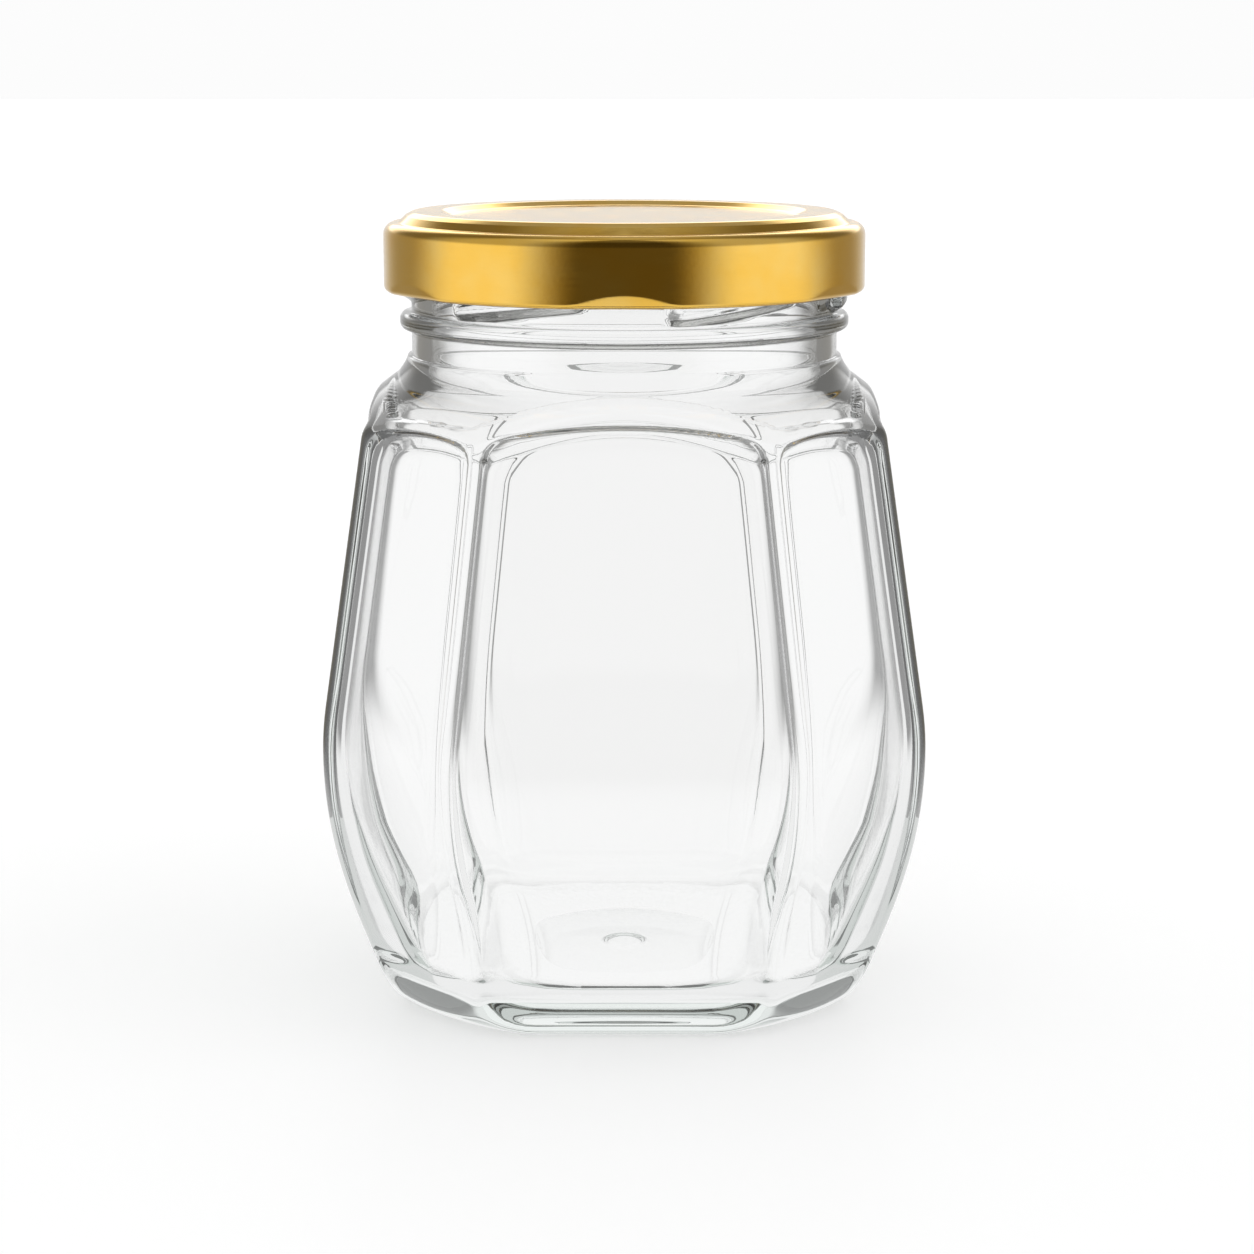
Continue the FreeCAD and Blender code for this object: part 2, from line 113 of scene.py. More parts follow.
def eased_path(corners: list[tuple[float, float, float]], flats: int) -> list[Span]:
    """Open path through corners whose turns are rounded.

    Args:
        corners: (x, y, radius) of each corner; a radius of 0 keeps it sharp.
        flats: how many chords each rounding has.

    Returns:
        The points of the path, as (x, y).
    """
    path = []
    for number, (x, y, radius) in enumerate(corners):
        spot = np.array([x, y])
        if radius <= 0.0 or number in (0, len(corners) - 1):
            path.append((x, y))
            continue
        before = np.array(corners[number - 1][:2]) - spot
        after = np.array(corners[number + 1][:2]) - spot
        before /= np.linalg.norm(before)
        after /= np.linalg.norm(after)
        half_angle = math.acos(float(np.clip(before @ after, -1.0, 1.0))) / 2.0
        reach = radius / math.tan(half_angle)
        middle = (before + after) / np.linalg.norm(before + after)
        centre = spot + middle * radius / math.sin(half_angle)
        start = spot + before * reach - centre
        end = spot + after * reach - centre
        turn = math.atan2(start[0] * end[1] - start[1] * end[0], float(start @ end))
        for step in range(flats + 1):
            angle = turn * step / flats
            cosine, sine = math.cos(angle), math.sin(angle)
            path.append((
                float(centre[0] + start[0] * cosine - start[1] * sine),
                float(centre[1] + start[0] * sine + start[1] * cosine),
            ))
    return path


def link(name: str, data: bpy.types.ID) -> bpy.types.Object:
    """Makes an object at the origin from its data, links it to the scene, and returns it."""
    thing = bpy.data.objects.new(name, data)
    bpy.context.scene.collection.objects.link(thing)
    return thing


def finish_mesh(mesh: bpy.types.Mesh, merge: float = 0.0) -> None:
    """Joins corners up to merge apart, points the faces outwards and shades them smooth."""
    sewn = bmesh.new()
    sewn.from_mesh(mesh)
    if merge:
        bmesh.ops.remove_doubles(sewn, verts=sewn.verts, dist=merge)
    bmesh.ops.recalc_face_normals(sewn, faces=sewn.faces)
    sewn.to_mesh(mesh)
    sewn.free()
    mesh.shade_smooth()


# ---- finishes

class NodeBoard:
    """Short way to lay out the nodes of a material, a world or a geometry tree."""

    def __init__(self, tree: bpy.types.NodeTree) -> None:
        """Takes the tree to draw on."""
        self.tree = tree

    @classmethod
    def fresh(cls, owner: bpy.types.Material | bpy.types.World) -> "NodeBoard":
        """Clears the nodes of a material or world and returns a board on its tree."""
        owner.use_nodes = True
        owner.node_tree.nodes.clear()
        return cls(owner.node_tree)

    def add(self, kind: str, inputs: dict | None = None, **settings: object) -> bpy.types.Node:
        """Adds a node.

        Args:
            kind: Blender's name for the kind of node.
            inputs: socket name or number to a value, or to the socket or node that feeds it.
            settings: properties of the node itself.

        Returns:
            The new node.
        """
        node = self.tree.nodes.new(kind)
        for name, value in settings.items():
            setattr(node, name, value)
        for name, value in (inputs or {}).items():
            if isinstance(value, bpy.types.Node):
                value = value.outputs[0]
            if isinstance(value, Socket):
                self.tree.links.new(value, node.inputs[name])
            else:
                node.inputs[name].default_value = value
        return node

    def maths(self, operation: str, *values: object) -> Socket:
        """Adds a Math node on these values and returns its result."""
        return self.add("ShaderNodeMath", dict(enumerate(values)), operation=operation).outputs[0]

    plus = partialmethod(maths, "ADD")
    minus = partialmethod(maths, "SUBTRACT")
    times = partialmethod(maths, "MULTIPLY")
    over = partialmethod(maths, "DIVIDE")
    larger = partialmethod(maths, "MAXIMUM")

    def ramp(self, value: object, span: Span, result: Span) -> Socket:
        """Maps value smoothly from its span onto the span of the result."""
        return self.add("ShaderNodeMapRange", dict(enumerate((value, *span, *result))),
                        interpolation_type="SMOOTHSTEP").outputs[0]

    def blend(self, share: object, first: object, second: object) -> Socket:
        """Mixes two colours by share."""
        node = self.add("ShaderNodeMix", {0: share, 6: first, 7: second}, data_type="RGBA")
        return node.outputs[2]

    def split(self, vector: Socket) -> Outputs:
        """Splits a vector into x, y and z."""
        return self.add("ShaderNodeSeparateXYZ", {0: vector}).outputs

    def scaled(self, colour: Socket, level: object) -> Socket:
        """Multiplies a colour by a level."""
        node = self.add("ShaderNodeVectorMath", {0: colour, "Scale": level}, operation="SCALE")
        return node.outputs[0]

    def grey(self, level: Socket) -> Socket:
        """Makes a grey colour of a level."""
        return self.add("ShaderNodeCombineColor", dict.fromkeys(range(3), level)).outputs[0]

    def place(self) -> Socket:
        """Place on the object, in metres."""
        return self.add("ShaderNodeTexCoord").outputs["Object"]

    def noise(self, place: Socket | bpy.types.Node, grain: Span) -> Socket:
        """Adds noise whose grain is given as (scale, detail)."""
        return self.add("ShaderNodeTexNoise", {
            "Vector": place, "Scale": grain[0], "Detail": grain[1]}).outputs[0]

    def bump(self, height: Socket, relief: Span) -> Socket:
        """Turns a height into a bumped normal, with its relief given as (metres, strength)."""
        return self.add("ShaderNodeBump", {
            "Height": height, "Distance": relief[0], "Strength": relief[1]}).outputs[0]

    def path(self) -> Outputs:
        """What kind of ray looks, and how often it has bounced."""
        return self.add("ShaderNodeLightPath").outputs

    def caught(self, path: Outputs) -> Socket:
        """1 for light that has bounced about in glass too often to follow, and otherwise 0."""
        return self.maths("GREATER_THAN", path["Glossy Depth"], MOST_BOUNCES)


@dataclass(frozen=True)
class ClearGlass:
    """Pressed soda-lime glass: clear, with a faint grey-green body and softly uneven skin.

    Light caught in the wall is passed straight on, dimmed, so that thick glass isn't black.
    """

    name: str = "clear_glass"
    bend: float = 1.52
    tint: Colour = (0.6, 0.74, 0.68)
    depth_of_tint: float = 5.0
    waves: Span = (55.0, 1.5)
    wave_bump: Span = (0.00004, 0.6)
    grain: Span = (900.0, 2.0)
    grain_span: Span = (0.35, 0.8)
    haze: Span = (0.0, 0.02)
    foot_pass: Colour = (0.95, 0.965, 0.955)
    foot_top: float = 26.0
    body_pass: float = 0.5
    neck_pass: float = 0.8
    neck_span: Span = (80.0, 90.0)

    def build(self) -> bpy.types.Material:
        """Builds the material and returns it."""
        material = bpy.data.materials.new(self.name)
        board = NodeBoard.fresh(material)
        place = board.place()
        surface = board.add("ShaderNodeBsdfPrincipled", {
            "Base Color": WHITE,
            "Roughness": board.ramp(board.noise(place, self.grain), self.grain_span, self.haze),
            "IOR": self.bend,
            "Transmission Weight": 1.0,
            "Normal": board.bump(board.noise(place, self.waves), self.wave_bump),
        })
        path = board.path()
        height = board.split(place)[2]
        # Painted shade: light caught in the wall leaves dimmed to body_pass in the body, lighter
        # towards neck_pass at the neck, and at foot_pass below foot_top; shadow rays pass at
        # foot_pass everywhere.
        foot = board.maths("LESS_THAN", height, self.foot_top * MM)
        neck = tuple(value * MM for value in self.neck_span)
        held = board.grey(board.ramp(height, neck, (self.body_pass, self.neck_pass)))
        clear = board.larger(path["Is Shadow Ray"], foot)
        through = board.add("ShaderNodeBsdfTransparent", {
            "Color": board.blend(clear, held, (*self.foot_pass, 1.0))})
        shade = board.add("ShaderNodeMixShader", {
            0: board.larger(path["Is Shadow Ray"], board.caught(path)),
            1: surface,
            2: through,
        })
        body = board.add("ShaderNodeVolumeAbsorption", {
            "Color": (*self.tint, 1.0), "Density": self.depth_of_tint})
        board.add("ShaderNodeOutputMaterial", {"Surface": shade, "Volume": body})
        return material


@dataclass(frozen=True)
class GoldLacquer:
    """Satin gold lacquer with a clear coat, faint mottling and fine rub marks; tin inside."""

    name: str = "gold_lacquer"
    light: Colour = (0.88, 0.57, 0.13)
    deep: Colour = (0.88, 0.52, 0.07)
    mottle: Span = (120.0, 3.0)
    mottle_span: Span = (0.3, 0.7)
    peel: Span = (1400.0, 2.0)
    peel_bump: Span = (0.000012, 0.35)
    rub_stretch: tuple[float, float, float] = (1.0, 1.0, 18.0)
    rubs: Span = (260.0, 4.0)
    rub_span: Span = (0.3, 0.75)
    roughness: Span = (0.1, 0.17)
    coat: float = 0.35
    coat_roughness: float = 0.05
    lining: Colour = (0.72, 0.72, 0.7)
    lining_roof_low: float = 101.0
    lining_skirt_top: float = 107.3
    downward: float = -0.2

    def inside(self, board: NodeBoard, place: Socket) -> Socket:
        """1 inside the lid, told by height and by the way that its faces point, otherwise 0."""
        spot = board.split(place)
        way = board.split(board.add("ShaderNodeNewGeometry").outputs["Normal"])
        outward = board.plus(board.times(spot[0], way[0]), board.times(spot[1], way[1]))
        skirt = board.times(
            board.maths("LESS_THAN", outward, 0.0),
            board.maths("LESS_THAN", spot[2], self.lining_skirt_top * MM))
        roof = board.times(
            board.maths("LESS_THAN", way[2], self.downward),
            board.maths("GREATER_THAN", spot[2], self.lining_roof_low * MM))
        return board.larger(skirt, roof)

    def build(self) -> bpy.types.Material:
        """Builds the material and returns it."""
        material = bpy.data.materials.new(self.name)
        board = NodeBoard.fresh(material)
        place = board.place()
        drawn = board.add("ShaderNodeMapping", {"Vector": place, "Scale": self.rub_stretch})
        rubs = board.noise(drawn, self.rubs)
        share = board.ramp(board.noise(place, self.mottle), self.mottle_span, UP)
        gold = board.blend(share, (*self.deep, 1.0), (*self.light, 1.0))
        surface = board.add("ShaderNodeBsdfPrincipled", {
            "Base Color": board.blend(self.inside(board, place), gold, (*self.lining, 1.0)),
            "Metallic": 1.0,
            "Roughness": board.ramp(rubs, self.rub_span, self.roughness),
            "Coat Weight": self.coat,
            "Coat Roughness": self.coat_roughness,
            "Normal": board.bump(board.noise(place, self.peel), self.peel_bump),
        })
        board.add("ShaderNodeOutputMaterial", {"Surface": surface})
        return material


# ---- glass jar

def towards_faces(spots: Array) -> tuple[Array, ...]:
    """How far places are out towards the nearest wide face and narrow face.

    Args:
        spots: places, as x, y and z.

    Returns:
        Distances out to the wide face, along it, out to the narrow face and along it.
    """
    across_x, across_y = np.abs(spots[..., 0]), np.abs(spots[..., 1])
    return (np.maximum(across_x, across_y), np.minimum(across_x, across_y),
            (across_x + across_y) / ROOT_TWO, np.abs(across_x - across_y) / ROOT_TWO)


class Face(Enum):
    """The two kinds of side face that take turns round the jar."""

    WIDE = "wide"
    NARROW = "narrow"


@dataclass(frozen=True)
class SideCurve:
    """How far one kind of face stands from the axis at each height."""

    half: float
    foot_height: float
    foot_slope: float
    top_slope: float
    panel_top: float
    panel_arch: float
    rib_land: float
    bulge_height: float = 37.6
    taper_height: float = 43.8

    def half_at(self, height: Array) -> Array:
        """Distance of the face from the axis.

        Args:
            height: heights above the foot.

        Returns:
            The distances at those heights.
        """
        foot = math.radians(self.foot_slope)
        top = math.radians(self.top_slope)
        lower = (self.bulge_height - self.foot_height) / math.sin(foot)
        upper = (self.taper_height - self.bulge_height) / math.sin(top)
        gap = height - self.bulge_height
        low_arc = self.half - lower + np.sqrt(np.maximum(lower ** 2 - gap ** 2, 0.0))
        high_arc = self.half - upper + np.sqrt(np.maximum(upper ** 2 - gap ** 2, 0.0))
        foot_half = self.half - lower * (1.0 - math.cos(foot))
        taper_half = self.half - upper * (1.0 - math.cos(top))
        below = foot_half - (self.foot_height - height) * math.tan(foot)
        above = taper_half - (height - self.taper_height) * math.tan(top)
        return np.select(
            [height < self.foot_height, height < self.bulge_height, height < self.taper_height],
            [below, low_arc, high_arc], above)


@dataclass
class GlassJar:
    """Bulged octagonal body with sunk panels, round neck, thread ridges and thick floor.

    Each surface is a distance field. Rays cast at it from the axis give the rings of the mesh.
    """

    finish: ClearGlass
    wide: SideCurve = SideCurve(40.83, 12.0, 21.3, 8.03, 83.6, 1.75, 0.87)
    narrow: SideCurve = SideCurve(45.23, 22.5, 17.2, 9.91, 81.9, 1.3, 1.3)
    rim_height: float = field(default_factory=lambda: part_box("glass_jar")[1][2] / MM)
    rib_round: float = 0.88
    shoulder_round: float = 0.8
    foot_round: float = 1.0
    wide_foot_round: float = 2.6
    panel_recess: float = 0.5
    panel_bottom: float = 7.9
    panel_fade: float = 22.0
    panel_step: float = 0.6
    panel_corner: float = 2.6
    shoulder_recess: float = 0.5
    recess_gap: float = 1.2
    recess_run: float = 4.0
    frame_width: float = 2.2
    frame_corner: float = 1.1
    frame_round: float = 1.0
    narrow_frame_width: float = 1.2
    foot_ring: float = 30.5
    heel_radius: float = 8.5
    heel_sweep: float = 51.0
    neck_root: float = 88.3
    root_round: float = 2.6
    seam_height: float = 89.3
    shoulder_slope: float = 37.0
    neck_radius: float = 29.5
    seam_step: float = 0.25
    bead_height: float = 94.3
    bead_width: float = 2.3
    bead_proud: float = 1.6
    wall: float = 2.5
    bore: float = 26.7
    floor_height: float = 5.2
    floor_radius: float = 17.6
    inner_rib_round: float = 2.6
    inner_foot_round: float = 9.0
    rib_ease_top: float = 40.0
    inner_heel_round: float = 6.0
    inner_shoulder_round: float = 3.0
    inner_root_round: float = 2.4
    panel_width: float = 17.0
    push_up_radius: float = 15.2
    push_up_depth: float = 0.3
    mark_radius: float = 2.65
    mark_depth: float = 0.25
    mark_edge: float = 0.5
    ridge_start: float = -136.0
    ridge_height: float = 97.0
    ridge_lead: float = 22.0
    ridge_sweep: float = 33.0
    ridge_half: float = 1.0
    ridge_foot: float = 0.6
    ridge_slope: float = 1.3
    ridge_proud: float = 1.4
    ridge_count: int = 6
    rib_columns: tuple[float, ...] = (
        0.0, 0.35, 0.7, 1.0, 1.2, 1.4, 1.6, 1.8, 2.1, 2.7, 3.6, 5.0)
    under_rings: tuple[float, ...] = (
        0.9, 1.8, 2.3, 2.55, 2.75, 3.0, 3.6, 5.0, 7.0, 9.0, 11.0, 13.0, 14.2, 14.8, 15.2, 15.7,
        16.6, 18.5, 20.5, 22.5, 24.3)
    floor_rings: tuple[float, ...] = (14.0, 10.0, 6.0, 2.5)
    low_start: float = 5.0
    high_start: float = 78.5
    inner_low_start: float = 20.0
    inner_high_start: float = 76.0
    bore_top: float = 104.0
    wide_columns: int = 22
    narrow_columns: int = 18

    # -- distances outside each surface

    def halves(self, height: Array) -> tuple[tuple[Array, Array], tuple[Array, Array]]:
        """Distance from the axis and half width, of a wide face and of a narrow one."""
        wide, narrow = self.wide.half_at(height), self.narrow.half_at(height)
        return (wide, ROOT_TWO * narrow - wide), (narrow, ROOT_TWO * wide - narrow)

    def panel_depth(self, face: Face, across: Array, height: Array, half_width: Array) -> Array:
        """How deep the panel of a face is sunk.

        Args:
            face: which kind of face.
            across: distances from its middle line.
            height: heights above the foot.
            half_width: half its width at those heights.

        Returns:
            The depths, 0 on the frame.
        """
        side = self.wide if face is Face.WIDE else self.narrow
        land = half_width - side.rib_land
        top = side.panel_top - side.panel_arch * (across / np.maximum(land, 1.0)) ** 2
        inside = smooth_min(land - across, top - height, self.panel_corner)
        fade = smooth_step((height - self.panel_bottom) / self.panel_fade)
        return self.panel_recess * fade * smooth_step(inside / self.panel_step)

    def faces_field(self, spots: Array, inset: float, blend: float, panels: bool) -> Array:
        """Distance outside the eight faces.

        Args:
            spots: places, as x, y and z.
            inset: how far the faces are moved in.
            blend: rounding of the corners between faces.
            panels: whether the faces have their sunk panels.

        Returns:
            The distances, less than 0 inside.
        """
        wide, along_wide, narrow, along_narrow = towards_faces(spots)
        height = spots[..., 2]
        (wide_half, wide_width), (narrow_half, narrow_width) = self.halves(height)
        wide = wide - wide_half + inset
        narrow = narrow - narrow_half + inset
        if panels:
            wide = wide + self.panel_depth(Face.WIDE, along_wide, height, wide_width)
            narrow = narrow + self.panel_depth(Face.NARROW, along_narrow, height, narrow_width)
        return smooth_max(wide, narrow, blend)

    def outer_field(self, spots: Array) -> Array:
        """Distance outside the jar's body, from heel to neck root."""
        radius = np.hypot(spots[..., 0], spots[..., 1])
        height = spots[..., 2]
        slope = math.radians(self.shoulder_slope)
        body = self.faces_field(spots, 0.0, self.rib_round, True)
        off_collar = radius - self.collar
        shoulder = (height - self.neck_root) * math.cos(slope) + off_collar * math.sin(slope)
        shoulder = shoulder + self.shoulder_depth(spots, radius)
        outwards = radius - self.foot_ring
        downwards = self.heel_radius - height
        lean = np.clip(np.arctan2(outwards, downwards), 0.0, math.radians(self.heel_sweep))
        under = outwards * np.sin(lean) + downwards * np.cos(lean) - self.heel_radius
        body = smooth_max(body, shoulder, self.shoulder_round)
        body = smooth_min(body, off_collar, self.root_round)
        wide = towards_faces(spots)[0] - self.wide.half_at(height)
        foot = smooth_max(wide, -height, self.wide_foot_round)
        return np.maximum(smooth_max(body, under, self.foot_round), foot)

    def shoulder_depth(self, spots: Array, radius: Array) -> Array:
        """How deep the shoulder is sunk inside the frames of the panels.

        Args:
            spots: places, as x, y and z.
            radius: their distances from the axis.

        Returns:
            The depths, 0 on the frames and at the neck.
        """
        wide, along_wide, narrow, _ = towards_faces(spots)
        height = spots[..., 2]
        share = along_wide / self.panel_width
        wide = self.wide.half_at(height) - wide - self.frame_width - self.frame_corner * share ** 2
        narrow = self.narrow.half_at(height) - narrow - self.narrow_frame_width
        inside = smooth_step(smooth_min(wide, narrow, self.frame_round) / self.panel_step)
        off_neck = radius - self.neck_radius - self.recess_gap
        return self.shoulder_recess * inside * smooth_step(off_neck / self.recess_run)

    def inner_field(self, spots: Array) -> Array:
        """Distance outside the cavity, from floor to bore."""
        radius = np.hypot(spots[..., 0], spots[..., 1])
        height = spots[..., 2]
        slope = math.radians(self.shoulder_slope)
        low = smooth_step((self.rib_ease_top - height) / (self.rib_ease_top - self.floor_height))
        rounding = self.inner_rib_round + (self.inner_foot_round - self.inner_rib_round) * low
        body = self.faces_field(spots, self.wall, rounding, False)
        off_bore = radius - self.bore
        shoulder = (height - self.inner_root) * math.cos(slope) + off_bore * math.sin(slope)
        body = smooth_max(body, shoulder, self.inner_shoulder_round)
        body = smooth_min(body, off_bore, self.inner_root_round)
        return smooth_max(body, self.floor_height - height, self.inner_heel_round)

    @property
    def collar(self) -> float:
        """Radius of the neck's foot."""
        return self.neck_radius + self.seam_step

    @property
    def inner_root(self) -> float:
        """Height at which the cavity's shoulder meets the bore."""
        slope = math.radians(self.shoulder_slope)
        rise = (self.collar - self.bore) * math.tan(slope)
        return self.neck_root + rise - self.wall / math.cos(slope)

    # -- rings and columns

    def columns(self, height: Array) -> Array:
        """Azimuths of the mesh columns, which follow the ribs.

        Args:
            height: height of each ring.

        Returns:
            One row of azimuths for each ring.
        """
        near = np.array(self.rib_columns)
        halves = []
        faces = self.halves(np.clip(height, 0.0, COLUMN_TOP))
        for (own, width), count in zip(faces, (self.wide_columns, self.narrow_columns)):
            rest = np.linspace(0.0, 1.0, count - len(near) + 2)[1:]
            near_places = width[:, None] - near[None, :]
            rest_places = near_places[:, -1:] * (1.0 - rest[None, :])
            places = np.concatenate([near_places, rest_places], axis=1)
            halves.append(np.arctan2(places, own[:, None]))
        eighth = np.concatenate([halves[0][:, ::-1], math.pi / 4 - halves[1][:, 1:]], axis=1)
        quarter = np.concatenate([eighth, math.pi / 2 - eighth[:, -2:0:-1]], axis=1)
        return np.concatenate([quarter + turn * math.pi / 2 for turn in range(4)], axis=1)

    def even_columns(self, rings: int) -> Array:
        """Evenly spaced azimuths for a number of rings, as many as columns gives."""
        count = 8 * (self.wide_columns + self.narrow_columns)
        return np.tile(np.arange(count) * 2.0 * math.pi / count, (rings, 1))

    def cast(self, surface: Field, azimuth: Array, start: Array, rise: Array) -> Array:
        """Finds where rays from the axis meet a surface.

        Args:
            surface: function from places to distances outside the surface.
            azimuth: azimuth of each ray, one row for each ring.
            start: height on the axis from which each ring's rays go out.
            rise: angle of each ring's rays above the level.

        Returns:
            The places, as x, y and z.
        """
        level = np.cos(rise)[:, None]
        upward = np.broadcast_to(np.sin(rise)[:, None], azimuth.shape)
        ways = np.stack([level * np.cos(azimuth), level * np.sin(azimuth), upward], axis=-1)
        origin = np.zeros_like(ways)
        origin[..., 2] = start[:, None]
        near = np.zeros(azimuth.shape)
        far = np.full(azimuth.shape, CAST_REACH)
        for _ in range(CAST_HALVINGS):
            middle = (near + far) / 2.0
            outside = surface(origin + ways * middle[..., None]) > 0.0
            far = np.where(outside, middle, far)
            near = np.where(outside, near, middle)
        return origin + ways * near[..., None]

    def cast_wall(
        self, surface: Field, fans: tuple[Array, Array], heights: Array, reach: float, even: Field,
    ) -> Array:
        """Rings of a wall, cast level from heights on the axis and in a fan from each end of them.

        Args:
            surface: function from places to distances outside the surface.
            fans: angles of the first and of the last rings above the level.
            heights: heights of the level rings.
            reach: about how far the wall is from the axis.
            even: function from heights to how evenly the columns are spread there, 0 to 1.

        Returns:
            The rings.
        """
        first, last = fans
        start = np.concatenate([
            np.full(len(first), heights[0]), heights, np.full(len(last), heights[-1])])
        rise = np.concatenate([first, np.zeros(len(heights)), last])
        nominal = start + reach * np.tan(rise)
        share = even(nominal)[:, None]
        azimuth = self.columns(nominal) * (1.0 - share) + self.even_columns(len(rise)) * share
        return self.cast(surface, azimuth, start, rise)

    def turned_rings(self, profile: list[Span], azimuth: Array | None = None) -> Array:
        """Rings of a turned surface.

        Args:
            profile: radius and height of each ring.
            azimuth: azimuths of each ring's points, evenly spread if not given.

        Returns:
            The rings.
        """
        if azimuth is None:
            azimuth = self.even_columns(len(profile))
        radius, height = np.array(profile).T[..., None]
        height = np.broadcast_to(height, azimuth.shape)
        return np.stack([radius * np.cos(azimuth), radius * np.sin(azimuth), height], axis=-1)

    def underside(self) -> Array:
        """Rings of the pushed-up underside, from near its middle out to the foot ring."""
        radii = np.array(self.under_rings)
        dome = self.push_up_depth * np.clip(1.0 - (radii / self.push_up_radius) ** 2, 0.0, 1.0)
        off_mark = self.mark_radius + self.mark_edge / 2.0 - radii
        mark = self.mark_depth * smooth_step(off_mark / self.mark_edge)
        azimuth = self.columns(np.zeros(len(radii)))
        return self.turned_rings(list(zip(radii, dome + mark)), azimuth)

    def body_rings(self) -> Array:
        """Rings of the body's outside, from the foot ring to the neck root."""
        low_angle = -math.atan2(self.low_start, self.foot_ring - 4.5)
        heel = steps((low_angle, low_angle * 0.2, 22), (low_angle * 0.2, 0.0, 5))[:-1]
        heights = steps((self.low_start, 7.0, 4), (7.0, 9.2, 11), (9.2, 13.6, 4), (13.6, 30.0, 10),
                        (30.0, 46.0, 14), (46.0, self.high_start, 12))
        top_angle = math.atan2(self.seam_height - self.high_start, self.collar)
        shoulder = steps((0.0, 0.17, 30), (0.17, 0.25, 22), (0.25, top_angle, 12))[1:]
        return self.cast_wall(
            self.outer_field, (heel, shoulder), heights, OUTER_REACH,
            lambda nominal: smooth_step((nominal - ROUND_FROM) / (nominal.max() - ROUND_FROM)))

    def neck_rings(self) -> Array:
        """Rings of the neck's outside: seam collar, bead, thread ridges and rounded rim."""
        neck = self.neck_radius
        low = self.bead_height - self.bead_width / 2.0
        high = self.bead_height + self.bead_width / 2.0
        proud = neck + self.bead_proud
        top = self.rim_height - 0.04
        profile = eased_path([
            (self.collar, self.seam_height, 0.0),
            (self.collar, self.seam_height + 0.18, 0.1),
            (neck, self.seam_height + 0.3, 0.1),
            (neck, low, 0.45),
            (proud, low + 0.05, 0.85),
            (proud, high - 0.05, 0.85),
            (neck, high, 0.45),
            (neck, high + 1.1, 0.0),
        ], 5)[1:]
        ridge_heights = steps((high + 1.3, 102.0, 36), (102.0, 106.6, 5))
        profile += [(neck, height) for height in ridge_heights]
        profile += eased_path([
            (neck, 106.8, 0.0), (neck, top, 1.1), (self.bore, top, 0.8), (self.bore, 106.2, 0.0),
        ], 6)[1:]
        return self.with_ridges(self.turned_rings(profile))

    def with_ridges(self, rings: Array) -> Array:
        """Raises the sloping thread ridges from the neck's rings, and returns the rings."""
        radius = np.hypot(rings[..., 0], rings[..., 1])
        azimuth = np.degrees(np.arctan2(rings[..., 1], rings[..., 0]))
        height = rings[..., 2]
        climb = self.ridge_lead * self.ridge_sweep / 360.0
        run = math.radians(self.ridge_sweep) * self.neck_radius
        length = math.hypot(run, climb)
        outside = np.abs(radius - self.neck_radius) < SEAM
        lift = np.zeros_like(radius)
        for number in range(self.ridge_count):
            start = self.ridge_start + number * 360.0 / self.ridge_count
            along = (azimuth - start + 180.0) % 360.0 - 180.0
            east = np.radians(along) * self.neck_radius
            north = height - self.ridge_height
            share = np.clip((east * run + north * climb) / length ** 2, 0.0, 1.0)
            away = np.hypot(east - share * run, north - share * climb)
            inside = self.ridge_half + self.ridge_foot - away
            lift = np.maximum(lift, self.ridge_proud * smooth_step(inside / self.ridge_slope))
        share = 1.0 + np.where(outside, lift, 0.0) / radius
        rings[..., 0] *= share
        rings[..., 1] *= share
        return rings

    def cavity_rings(self) -> Array:
        """Rings of the inside, from the bore down to near the middle of the floor."""
        bore_foot = self.inner_root + self.inner_root_round * 1.3
        bore = [(self.bore, height) for height in steps((self.bore_top, bore_foot, 5))][:-1]
        top, low = self.inner_high_start, self.inner_low_start
        top_angle = math.atan2(bore_foot - top, self.bore)
        floor_angle = -math.atan2(low - self.floor_height, self.floor_radius)
        shoulder = steps((top_angle, 0.0, 30))[:-1]
        heights = steps((top, 46.0, 9), (46.0, low, 15))
        heel = steps((0.0, floor_angle, 22))[1:]
        walls = self.cast_wall(
            self.inner_field, (shoulder, heel), heights, INNER_REACH,
            lambda nominal: np.clip(
                smooth_step((nominal - 80.0) / 6.0) + smooth_step((8.0 - nominal) / 8.0), 0.0, 1.0))
        floor = [(radius, self.floor_height) for radius in self.floor_rings]
        return np.concatenate([self.turned_rings(bore), walls, self.turned_rings(floor)])

    def build(self) -> bpy.types.Object:
        """Builds the jar's glass as one closed mesh, gives it to the frame, and returns it."""
        rings = np.concatenate([
            self.underside(), self.body_rings(), self.neck_rings(), self.cavity_rings()])
        ring_count, column_count = rings.shape[:2]
        foot_middle = [0.0, 0.0, self.push_up_depth + self.mark_depth]
        floor_middle = [0.0, 0.0, self.floor_height]
        spots = np.concatenate([rings.reshape(-1, 3), [foot_middle, floor_middle]])
        foot_pole, floor_pole = len(spots) - 2, len(spots) - 1
        last = (ring_count - 1) * column_count
        faces: list[tuple[int, ...]] = []
        for column in range(column_count):
            following = (column + 1) % column_count
            faces.append((foot_pole, following, column))
            faces.append((floor_pole, last + column, last + following))
            for ring in range(0, last, column_count):
                above = ring + column_count
                faces.append((ring + column, ring + following, above + following, above + column))
        mesh = bpy.data.meshes.new("jar_glass")
        mesh.from_pydata((spots * MM).tolist(), [], faces)
        mesh.materials.append(self.finish.build())
        finish_mesh(mesh, SEAM)
        piece = link("jar_glass", mesh)
        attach(piece, BODY)
        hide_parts("glass_jar")
        LOG.info("jar_glass: %d rings of %d columns", ring_count, column_count)
        return piece


# ---- lid

